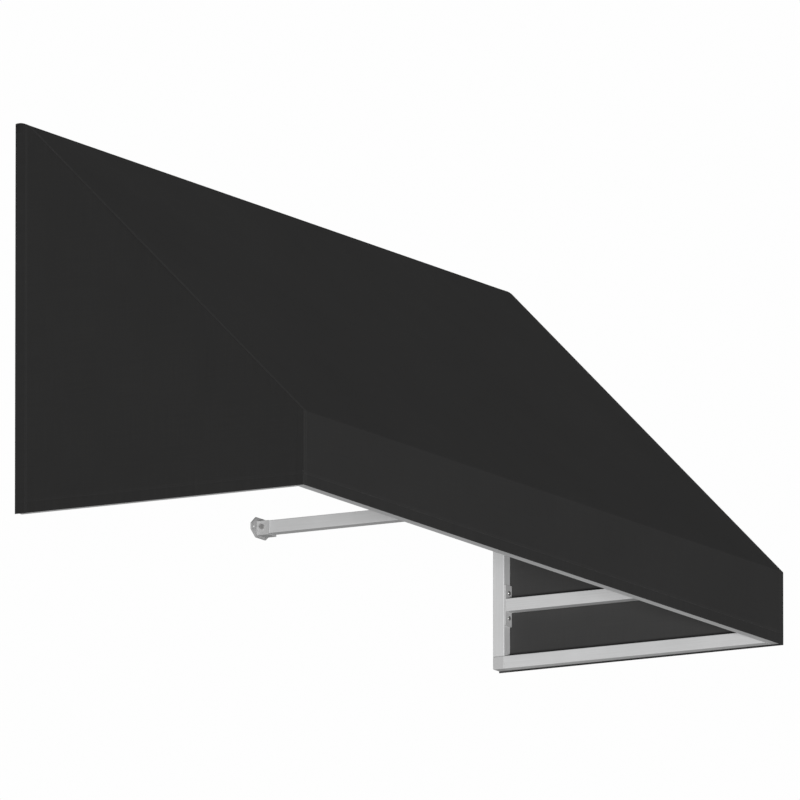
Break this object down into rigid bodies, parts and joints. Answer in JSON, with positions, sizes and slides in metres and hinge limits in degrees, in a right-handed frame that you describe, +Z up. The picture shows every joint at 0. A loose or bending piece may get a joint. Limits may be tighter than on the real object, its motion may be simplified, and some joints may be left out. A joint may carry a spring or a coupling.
{
  "type": "fabric awning",
  "caption": "Fixed window awning: dark woven cover with a steep slope, straight valance and closed wings over a square aluminium tube frame for wall mounting.",
  "frame": {"origin": "middle of the header tube's wall face, on the wall plane", "axes": "+X to the right along the wall, -Y out of the wall, +Z up"},
  "size_m": [1.943, 0.6366, 0.7675],
  "materials": {
    "cover_cloth": "matt woven acrylic canvas, charcoal black",
    "frame_tube": "mill-finish extruded square tube, satin",
    "fittings": "die-cast, lightly tumbled",
    "fasteners": "stainless steel"
  },
  "bodies": {
    "root": {"centre_arm": "frame_tube", "centre_arm_tee": "fittings", "centre_arm_tee_screw_1": "fasteners", "centre_arm_tee_screw_2": "fasteners", "centre_bracket_bolt": "fasteners", "centre_bracket_nut": "fasteners", "centre_front_upright": "frame_tube", "centre_rafter": "frame_tube", "centre_rafter_foot_tee": "fittings", "centre_rafter_foot_tee_screw_1": "fasteners", "centre_rafter_foot_tee_screw_2": "fasteners", "centre_rafter_head_tee": "fittings", "centre_rafter_head_tee_screw_1": "fasteners", "centre_rafter_head_tee_screw_2": "fasteners", "centre_upright_foot_tee": "fittings", "centre_upright_foot_tee_screw_1": "fasteners", "centre_upright_foot_tee_screw_2": "fasteners", "centre_upright_top_tee": "fittings", "centre_upright_top_tee_screw_1": "fasteners", "centre_upright_top_tee_screw_2": "fasteners", "centre_wall_bracket": "fittings", "eave_tube": "frame_tube", "front_bottom_tube": "frame_tube", "header_tube": "frame_tube", "left_arm": "frame_tube", "left_arm_tee": "fittings", "left_arm_tee_screw_1": "fasteners", "left_arm_tee_screw_2": "fasteners", "left_bottom_tube": "frame_tube", "left_eave_corner": "fittings", "left_front_bottom_corner": "fittings", "left_front_upright": "frame_tube", "left_rafter": "frame_tube", "left_top_wall_corner": "fittings", "left_wall_bottom_elbow": "fittings", "left_wall_upright": "frame_tube", "left_wing": "cover_cloth", "right_arm": "frame_tube", "right_arm_tee": "fittings", "right_arm_tee_screw_1": "fasteners", "right_arm_tee_screw_2": "fasteners", "right_bottom_tube": "frame_tube", "right_eave_corner": "fittings", "right_front_bottom_corner": "fittings", "right_front_upright": "frame_tube", "right_rafter": "frame_tube", "right_top_wall_corner": "fittings", "right_wall_bottom_elbow": "fittings", "right_wall_upright": "frame_tube", "right_wing": "cover_cloth", "top_panel": "cover_cloth"}
  },
  "joints": []
}
